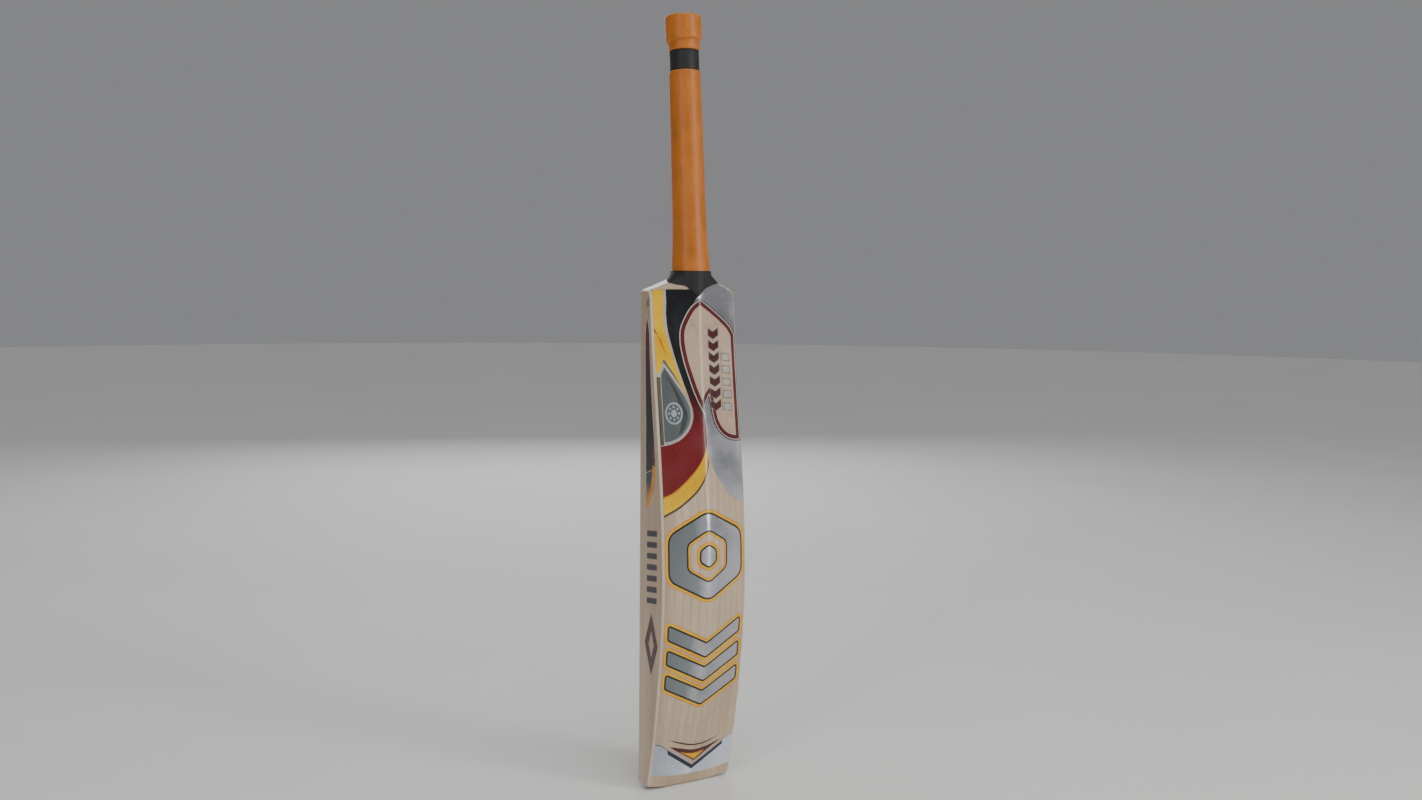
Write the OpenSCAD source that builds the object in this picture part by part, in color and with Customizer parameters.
// Cricket bat: willow blade, spliced cane handle with rubber springs, twine, rubber grip and labels.
// The bat stands on its toe. +Z runs up the bat, the hitting face looks towards -Y and the back towards +Y.

/* [Blade] */
// Width of the blade
blade_w = 107; // [96:0.5:108]
// Height of the shoulder corners above the toe
shoulder_z = 558; // [520:1:575]
// Height at which the edges are thickest
swell_z = 236; // [180:1:300]
// Edge thickness at the toe
toe_t = 21; // [14:0.5:26]
// Greatest edge thickness, at the swell
swell_t = 53.4; // [35:0.1:56]
// Edge thickness at the shoulders
shoulder_t = 20.9; // [14:0.1:26]
// How full the edge curve is between toe and swell
toe_fill = 1.8; // [1.2:0.1:2.4]
// How fast the edge thins above the swell
swell_fall = 2.24; // [1.8:0.02:2.6]
// Rise of the spine above the edges along the lower blade
spine_h = 8.9; // [5:0.1:14]
// Rise of the spine above the edges at the shoulders
spine_top = 14.4; // [9:0.1:18]
// Distance of the hitting face in front of the toe's middle
face_d = 11; // [8:0.5:14]
// Radius of the blade's long edges
edge_r = 3; // [1.5:0.5:5]
// Height that the toe's corners stand above its middle
toe_rise = 5; // [2:0.5:9]
// Half width of the flat the bat stands on
toe_flat = 14; // [8:1:20]

/* [Handle] */
// Lean of the handle towards the hitting face
handle_tilt = 4.5; // [2:0.1:6]
// Height of the handle's base on its axis
handle_z = 581.5; // [576:0.5:590]
// Distance of the handle's axis behind the toe's middle at its base
handle_y = 5.2; // [3:0.1:8]
// Length of the handle above its base
handle_len = 273; // [250:1:290]
// Radius of the bare cane at the base
cane_r_base = 17; // [15.5:0.1:17.5]
// Radius of the bare cane at the top
cane_r_top = 14; // [12:0.1:14.5]
// Thickness of each rubber spring
spring_t = 1.6; // [1:0.1:2.4]
// Thickness of the twine binding
twine_t = 0.8; // [0.5:0.1:1.2]
// Height of the point of the splice
splice_z = 438; // [420:1:460]

/* [Grip] */
// Outer radius of the grip at its top
grip_r = 17.15; // [16.8:0.05:18]
// Extra radius from the long taper
grip_taper = 1.9; // [1:0.1:3]
// Extra radius of the flare at the bottom
grip_flare = 1.8; // [1:0.1:3]
// Length of that flare
flare_len = 60; // [40:1:80]
// Length of the grip
grip_len = 216; // [190:1:220]
// Outer radius of the black band above the grip
band_r = 16.15; // [16:0.05:16.8]
// Length of the black band
band_len = 22; // [15:1:30]
// Outer radius of the rolled cuff at the top
cuff_r = 20.25; // [19:0.05:22]
// Length of the rolled cuff, without its neck
cuff_len = 26; // [20:1:30]
// Half width of the lower collar where it meets the shoulders
collar_w = 31; // [28:0.5:33]
// Thickness of the collar's tongue
tongue_t = 1; // [0.6:0.1:1.4]
// Height of the point of the tongue
tongue_z = 549.5; // [545:0.5:554]

/* [Labels] */
// Thickness of a label
label_t = 0.25; // [0.15:0.05:0.4]
// Distance of the back labels' sides from the blade's middle
label_w = 50.4; // [46:0.2:50.4]

/* [Hidden] */
half_w = blade_w / 2;
face_y = -face_d;
blade_top = handle_z - 5;
collar_top = blade_top + 1;
crest = 0.06;
slope_pow = 1.15;
toe_spine = 1;
far = 400;
grip_bottom = -3;
band_bottom = grip_bottom + grip_len;
neck_bottom = band_bottom + band_len;
cuff_bottom = neck_bottom + 12;
cuff_top = cuff_bottom + cuff_len;
// The rubber springs part the cane into four layers, and each layer is three slips wide.
spring_pitch = 8.2;
slip_half = 5.4;
// Grid of the blade's surface across the blade and along it
side_cols = [half_w, half_w - 0.25, half_w - 0.9, half_w - 1.9, half_w - edge_r, 41, 31, 22, 14, 8, 3.5];
cols = concat([for (x = side_cols) -x], [0], [for (i = [len(side_cols) - 1:-1:0]) side_cols[i]]);
rows = [-1, 12, 30, 50, 75, 100, 130, 160, 190, 215, 236, 260, 285, 310, 335, 360, 385, 410, 436, 460, 484,
    505, 524, 542, 558, 570, 582];
$fn = 72;

// Surface of the blade

function clamp01(v) = min(1, max(0, v));
function smooth(v) = clamp01(v) * clamp01(v) * (3 - 2 * clamp01(v));

// Thickness of the blade at its edges, at height z
function lower_t(z) = toe_t + (swell_t - toe_t) * (1 - pow(clamp01(1 - max(z, 0) / swell_z), toe_fill));
function upper_v(z) = clamp01((z - swell_z) / (shoulder_z - swell_z));
function upper_t(v) = shoulder_t
    + (swell_t - shoulder_t) * (1 - swell_fall * v * v + (swell_fall - 1) * v * v * v);
function edge_t(z) = z < swell_z ? lower_t(z) : upper_t(upper_v(z));

// Rise of the spine above the edges, at height z
function spine(z) = toe_spine + (spine_h - toe_spine) * smooth((z + 10) / 250)
    + (spine_top - spine_h) * pow(max(0, (z - 300) / (shoulder_z - 300)), 2);

// Share of the spine's rise left at u, from 0 at the middle to 1 at the edge
function slope(u) = (sqrt(u * u + crest * crest) - crest) / (sqrt(1 + crest * crest) - crest);
function ridge(x) = pow(clamp01(1 - slope(abs(x) / half_w)), slope_pow);

// Depth taken off by the rounding of the long edges
function edge_in(x) = max(0, abs(x) - (half_w - edge_r));
function edge_drop(x) = edge_r - sqrt(max(0, edge_r * edge_r - edge_in(x) * edge_in(x)));

function front_y(x, z) = face_y + edge_drop(x);
function back_y(x, z) = face_y + edge_t(z) + spine(z) * ridge(x) - edge_drop(x);

// A closed solid between two surfaces over the grid of columns xs and rows zs.
// lift 0 starts at the front of the blade, and any other value makes a skin of that thickness on its back.
module field(xs, zs, lift = 0) {
    n = len(xs);
    m = len(zs);
    lo = [for (z = zs) for (x = xs) [x, lift == 0 ? front_y(x, z) : back_y(x, z), z]];
    hi = [for (z = zs) for (x = xs) [x, back_y(x, z) + lift, z]];
    s = n * m;
    skin = [for (j = [0:m - 2]) for (i = [0:n - 2]) let (a = j * n + i)
        each [[a, a + 1, a + n + 1], [a, a + n + 1, a + n]]];
    under = [for (f = skin) f];
    over = [for (f = skin) [f[2] + s, f[1] + s, f[0] + s]];
    ends = [for (i = [0:n - 2]) let (b = (m - 1) * n + i)
        each [[i, i + s, i + 1 + s], [i, i + 1 + s, i + 1], [b, b + 1, b + 1 + s], [b, b + 1 + s, b + s]]];
    sides = [for (j = [0:m - 2]) let (a = j * n, b = j * n + n - 1)
        each [[a, a + n, a + n + s], [a, a + n + s, a + s], [b, b + s, b + n + s], [b, b + n + s, b + n]]];
    polyhedron(points = concat(lo, hi), faces = concat(under, over, ends, sides));
}

// Places an outline drawn in X and Z, as seen from the front, and runs it right through the blade
module through() {
    translate([0, far / 2, 0])
        rotate([90, 0, 0])
            linear_extrude(far)
                children();
}

// Outline of the blade: round toe, straight sides and sloping shoulders
module blade_outline() {
    toe = [for (k = [1:6]) let (u = toe_flat + (half_w - 4 - toe_flat) * k / 6)
        [u, toe_rise * 0.8 * pow((u - toe_flat) / (half_w - 4 - toe_flat), 1.6)]];
    half = concat([[toe_flat, 0]], toe, [
        [half_w - 1.2, toe_rise * 0.8 + 1.4],
        [half_w + 1, toe_rise * 0.8 + 5],
        [half_w + 1, shoulder_z - 4.5],
        [half_w - 0.8, shoulder_z - 2.6],
        [half_w - 3, shoulder_z - 0.9],
        [40, shoulder_z + 2.9],
        [collar_w, shoulder_z + 6.8],
        [22, shoulder_z + 10.6],
        [19.5, blade_top]]);
    polygon(concat(half, [for (i = [len(half) - 1:-1:0]) [-half[i][0], half[i][1]]]));
}

// The blade before the splice is cut
module blade_blank() {
    intersection() {
        field(cols, rows);
        through() blade_outline();
    }
}

// Outline of the splice, from its point to the top of the blade and past it by over
module splice_outline(over) {
    wide = splice_w(blade_top + over);
    polygon([[0, splice_z], [wide, blade_top + over], [-wide, blade_top + over]]);
}

module blade() {
    color("burlywood")
    difference() {
        blade_blank();
        through() splice_outline(9);
    }
}

// Handle

// Turns a child drawn along Z from the handle's base onto the handle's axis
module on_handle() {
    translate([0, handle_y, handle_z])
        rotate([handle_tilt, 0, 0])
            children();
}

// Radius of the cane s above the base
function cane_r(s) = cane_r_base + (cane_r_top - cane_r_base) * s / handle_len;
function wrap_r(s) = cane_r(s) + twine_t;
function grip_out(s) = grip_r + grip_taper * (1 - s / grip_len)
    + grip_flare * pow(max(0, 1 - s / flare_len), 2);

// Everything above height z
module above(z) {
    translate([-far / 2, -far / 2, z])
        cube([far, far, far]);
}

// Half width of the splice at height z
function splice_w(z) = cane_r_base * (z - splice_z) / (handle_z - splice_z);

// Cane before it is sawn into slips: the round handle above, and the splice's wedge below.
// The wedge's back is flush with the blade's back at the distance from the middle that reach gives.
module cane_blank(side) {
    zs = concat([splice_z], [for (z = rows) if (z > splice_z && z < blade_top) z], [blade_top]);
    intersection() {
        on_handle()
            translate([0, 0, -10])
                cylinder(r1 = cane_r(-10), r2 = cane_r_top, h = handle_len + 10);
        above(blade_top);
    }
    intersection() {
        through() splice_outline(0);
        rotate([90, 0, 90])
            linear_extrude(far, center = true)
                polygon(concat([[face_y, blade_top], [face_y, splice_z]],
                    [for (z = zs) let (w = side == 0 ? min(slip_half, splice_w(z)) : splice_w(z))
                        [back_y(w, z) - 0.1, z]]));
    }
}

// One slab of the handle, from x0 to x1 across it and from d0 to d1 behind its axis
module slab(x0, x1, d0, d1) {
    on_handle()
        translate([x0, d0, -far / 2])
            cube([x1 - x0, d1 - d0, far * 2]);
}

// Front and back limit of layer n of the cane, counted from the hitting side
function layer_lo(n) = n == 1 ? -60 : (n - 3) * spring_pitch + spring_t / 2;
function layer_hi(n) = n == 4 ? 60 : (n - 2) * spring_pitch - spring_t / 2;

module slip(n, side) {
    x0 = side == -1 ? -60 : side == 0 ? -slip_half : slip_half;
    x1 = side == -1 ? -slip_half : side == 0 ? slip_half : 60;
    color(side == 0 ? "tan" : "peru")
    intersection() {
        cane_blank(side);
        slab(x0, x1, layer_lo(n), layer_hi(n));
    }
}

module spring(n) {
    color("dimgray")
    intersection() {
        cane_blank(0);
        slab(-60, 60, n * spring_pitch - spring_t / 2, n * spring_pitch + spring_t / 2);
    }
}

module twine_binding() {
    color("ivory")
    on_handle()
        difference() {
            cylinder(r1 = wrap_r(0), r2 = wrap_r(cuff_top - 6), h = cuff_top - 6);
            translate([0, 0, -1])
                cylinder(r1 = cane_r(-1), r2 = cane_r(cuff_top), h = cuff_top + 1);
        }
}

// Sleeve around the twine from s0 to s1 whose outer outline is the list out of [radius, s]
module sleeve(s0, s1, out) {
    on_handle()
        rotate_extrude()
            polygon(concat([[wrap_r(s0), s0]], out, [[wrap_r(s1), s1]]));
}

// The grip's bottom is cut level, just above the blade
module grip() {
    stations = [grip_bottom - 3, 8, 18, 30, 44, 60];
    top = grip_bottom + grip_len;
    color("chocolate")
    intersection() {
        sleeve(grip_bottom - 3, top,
            concat([for (s = stations) [grip_out(s), s]], [[grip_r, top - 1], [grip_r - 0.8, top]]));
        above(collar_top);
    }
}

module band() {
    color("black")
    sleeve(band_bottom, neck_bottom, [
        [band_r, band_bottom],
        [band_r, neck_bottom]]);
}

module cuff() {
    mouth = 14.9;
    color("chocolate")
    difference() {
        sleeve(neck_bottom, cuff_top - 6, [
            [grip_r, neck_bottom],
            [grip_r, neck_bottom + 5],
            [cuff_r, cuff_bottom],
            [cuff_r, cuff_top - 3],
            [cuff_r - 1.6, cuff_top],
            [mouth, cuff_top],
            [mouth, cuff_top - 6]]);
        on_handle()
            translate([0, 0, cuff_top - 6.5])
                cylinder(r = 14.4, h = 8);
    }
}

// Rubber collar: a ring under the grip, and wings that lie on the shoulders and narrow towards the face
module lower_collar() {
    wing_back = 16;
    color("black") {
        difference() {
            on_handle()
                translate([0, 0, -12])
                    cylinder(r = grip_out(0), h = 24);
            on_handle()
                translate([0, 0, -20])
                    cylinder(r = wrap_r(0), h = 40);
            translate([0, 0, blade_top - far])
                above(0);
            above(collar_top);
        }
        for (side = [-1, 1])
            intersection() {
                translate([0, wing_back, 0])
                    rotate([90, 0, 0])
                        linear_extrude(wing_back - face_y)
                            polygon([for (p = [[19.5, blade_top], [22, shoulder_z + 10.6],
                                [collar_w, shoulder_z + 6.8], [collar_w + 1.4, shoulder_z + 7.4],
                                [27.5, shoulder_z + 12.4], [24.6, shoulder_z + 16.5],
                                [22.6, collar_top], [18.7, collar_top]])
                                [side * p[0], p[1]]]);
                linear_extrude(2 * far)
                    polygon([[0, face_y], [side * 23, face_y], [side * 33, 12], [side * 33, 20], [0, 20]]);
            }
    }
}

// The collar's pointed tongue, which lies on the back of the blade
module collar_tongue() {
    color("black")
    back_label(-35, 35, 540, 585, tongue_t)
        polygon([[0, tongue_z], [5.2, tongue_z + 3.4], [10, shoulder_z + 1.8], [12.4, shoulder_z + 3.6],
            [26, shoulder_z + 4.4], [29.4, shoulder_z + 6.4], [20.6, shoulder_z + 10.2], [18.9, blade_top],
            [-18.9, blade_top], [-20.6, shoulder_z + 10.2], [-29.4, shoulder_z + 6.4], [-20, shoulder_z + 4],
            [-12, shoulder_z + 2], [-5.2, shoulder_z - 2]]);
}

// Labels

// A label on the blade's back, cut to the outline drawn as its child
module back_label(x0, x1, z0, z1, lift = label_t) {
    xs = [for (x = cols) if (x >= x0 && x <= x1) x];
    zs = [for (z = rows) if (z >= z0 && z <= z1) z];
    intersection() {
        field(xs, zs, lift);
        through() children();
    }
}

function arc(c, rx, rz, a0, a1, n) = [for (k = [0:n]) let (a = a0 + (a1 - a0) * k / n)
    [c[0] + rx * cos(a), c[1] + rz * sin(a)]];

// Panel: a pointed shield that leans to the right of the back
module panel_outline() {
    polygon([[0, 547], [9, 540], [17.5, 527], [22.5, 515], [23.5, 502], [21.5, 486], [16, 464], [6.5, 436],
        [0.5, 422], [-4, 436], [-8, 443], [-11, 430], [-16, 411], [-24, 400], [-33, 394], [-42, 391.5],
        [-label_w, 391.5], [-label_w, 512], [-42, 520], [-25, 532], [-12, 541]]);
}

module swirl_outline() {
    difference() {
        polygon([[label_w, 556], [40, 557.6], [12, 557.6], [8, 555], [0, tongue_z - 0.5], [-6, 554],
            [-13, 558], [-30, 561.5], [-label_w, 556],
            [-label_w, 322], [-34, 330], [-20, 347], [-10, 362], [-3, 380], [-2, 366], [5, 347], [13, 337],
            [24, 328], [37, 319], [label_w, 313]]);
        panel_outline();
    }
}

module hex_outline(rx, rz) {
    polygon([[0, rz], [rx, rz * 0.48], [rx, -rz * 0.48], [0, -rz], [-rx, -rz * 0.48], [-rx, rz * 0.48]]);
}

// One chevron that points to the toe
module chevron_outline(w, arm, drop) {
    polygon([[-w, 0], [0, -drop], [w, 0], [w, arm], [0, arm - drop], [-w, arm]]);
}

module label_swirl() {
    color("goldenrod") back_label(-half_w, half_w, 300, 575) swirl_outline();
}

module label_panel() {
    color("cornsilk") back_label(-half_w, 35, 375, 560) panel_outline();
}

module emblem_upper() {
    color("silver")
    back_label(-half_w, half_w, 200, 336)
        translate([0, 268])
            difference() {
                hex_outline(47, 52);
                hex_outline(21, 25);
            }
}

module emblem_core() {
    color("silver")
    back_label(-22, 22, 236, 310)
        translate([0, 268])
            hex_outline(12.5, 15);
}

module emblem_lower() {
    color("silver")
    back_label(-half_w, half_w, 75, 215)
        for (k = [0:2])
            translate([0, 177 - 28 * k])
                chevron_outline(47, 19, 24);
}

module label_toe() {
    color("whitesmoke")
    back_label(-half_w, half_w, 12, 75)
        polygon([[label_w, 58], [0, 26], [-label_w, 54], [-label_w, 16], [-30, 13.5], [0, 12.6], [30, 14.5],
            [label_w, 18]]);
}

// A label on an edge: side is 1 on the +X edge, and the outline is drawn as depth behind the face and Z
module edge_label(side) {
    x = side == 1 ? half_w : -half_w - label_t;
    translate([x, face_y, 0])
        rotate([90, 0, 90])
            linear_extrude(label_t)
                children();
}

module flash_outline() {
    polygon([[15, 528], [19.5, 516], [21.5, 490], [24, 460], [28, 425], [33, 388], [36, 362], [32, 342],
        [24, 326], [13, 316], [15, 338], [15, 370], [14.5, 410], [13.5, 450], [12, 490], [12.5, 516]]);
}

module bars_outline() {
    for (k = [0:6])
        translate([0, 213 + 12.4 * k])
            polygon([[18, 0], [41, 3], [41, 10], [18, 7]]);
}

module mark_outline() {
    difference() {
        polygon([[29, 204], [44, 169], [29, 134], [14, 169]]);
        polygon([[29, 188], [36.5, 169], [29, 150], [21.5, 169]]);
    }
}

module edge_flash(side) {
    color("maroon") edge_label(side) flash_outline();
}

module edge_bars(side) {
    color("dimgray") edge_label(side) bars_outline();
}

module edge_mark(side) {
    color("saddlebrown") edge_label(side) mark_outline();
}

blade();
slip(1, -1);  // cane_1_left
slip(1, 0);  // cane_1_mid
slip(1, 1);  // cane_1_right
slip(2, -1);  // cane_2_left
slip(2, 0);  // cane_2_mid
slip(2, 1);  // cane_2_right
slip(3, -1);  // cane_3_left
slip(3, 0);  // cane_3_mid
slip(3, 1);  // cane_3_right
slip(4, -1);  // cane_4_left
slip(4, 0);  // cane_4_mid
slip(4, 1);  // cane_4_right
spring(-1);  // spring_front
spring(0);  // spring_mid
spring(1);  // spring_back
twine_binding();
grip();
band();
cuff();
lower_collar();
collar_tongue();
label_swirl();
label_panel();
emblem_upper();
emblem_core();
emblem_lower();
label_toe();
edge_flash(1);  // edge_flash_left
edge_bars(1);  // edge_bars_left
edge_mark(1);  // edge_mark_left
edge_flash(-1);  // edge_flash_right
edge_bars(-1);  // edge_bars_right
edge_mark(-1);  // edge_mark_right
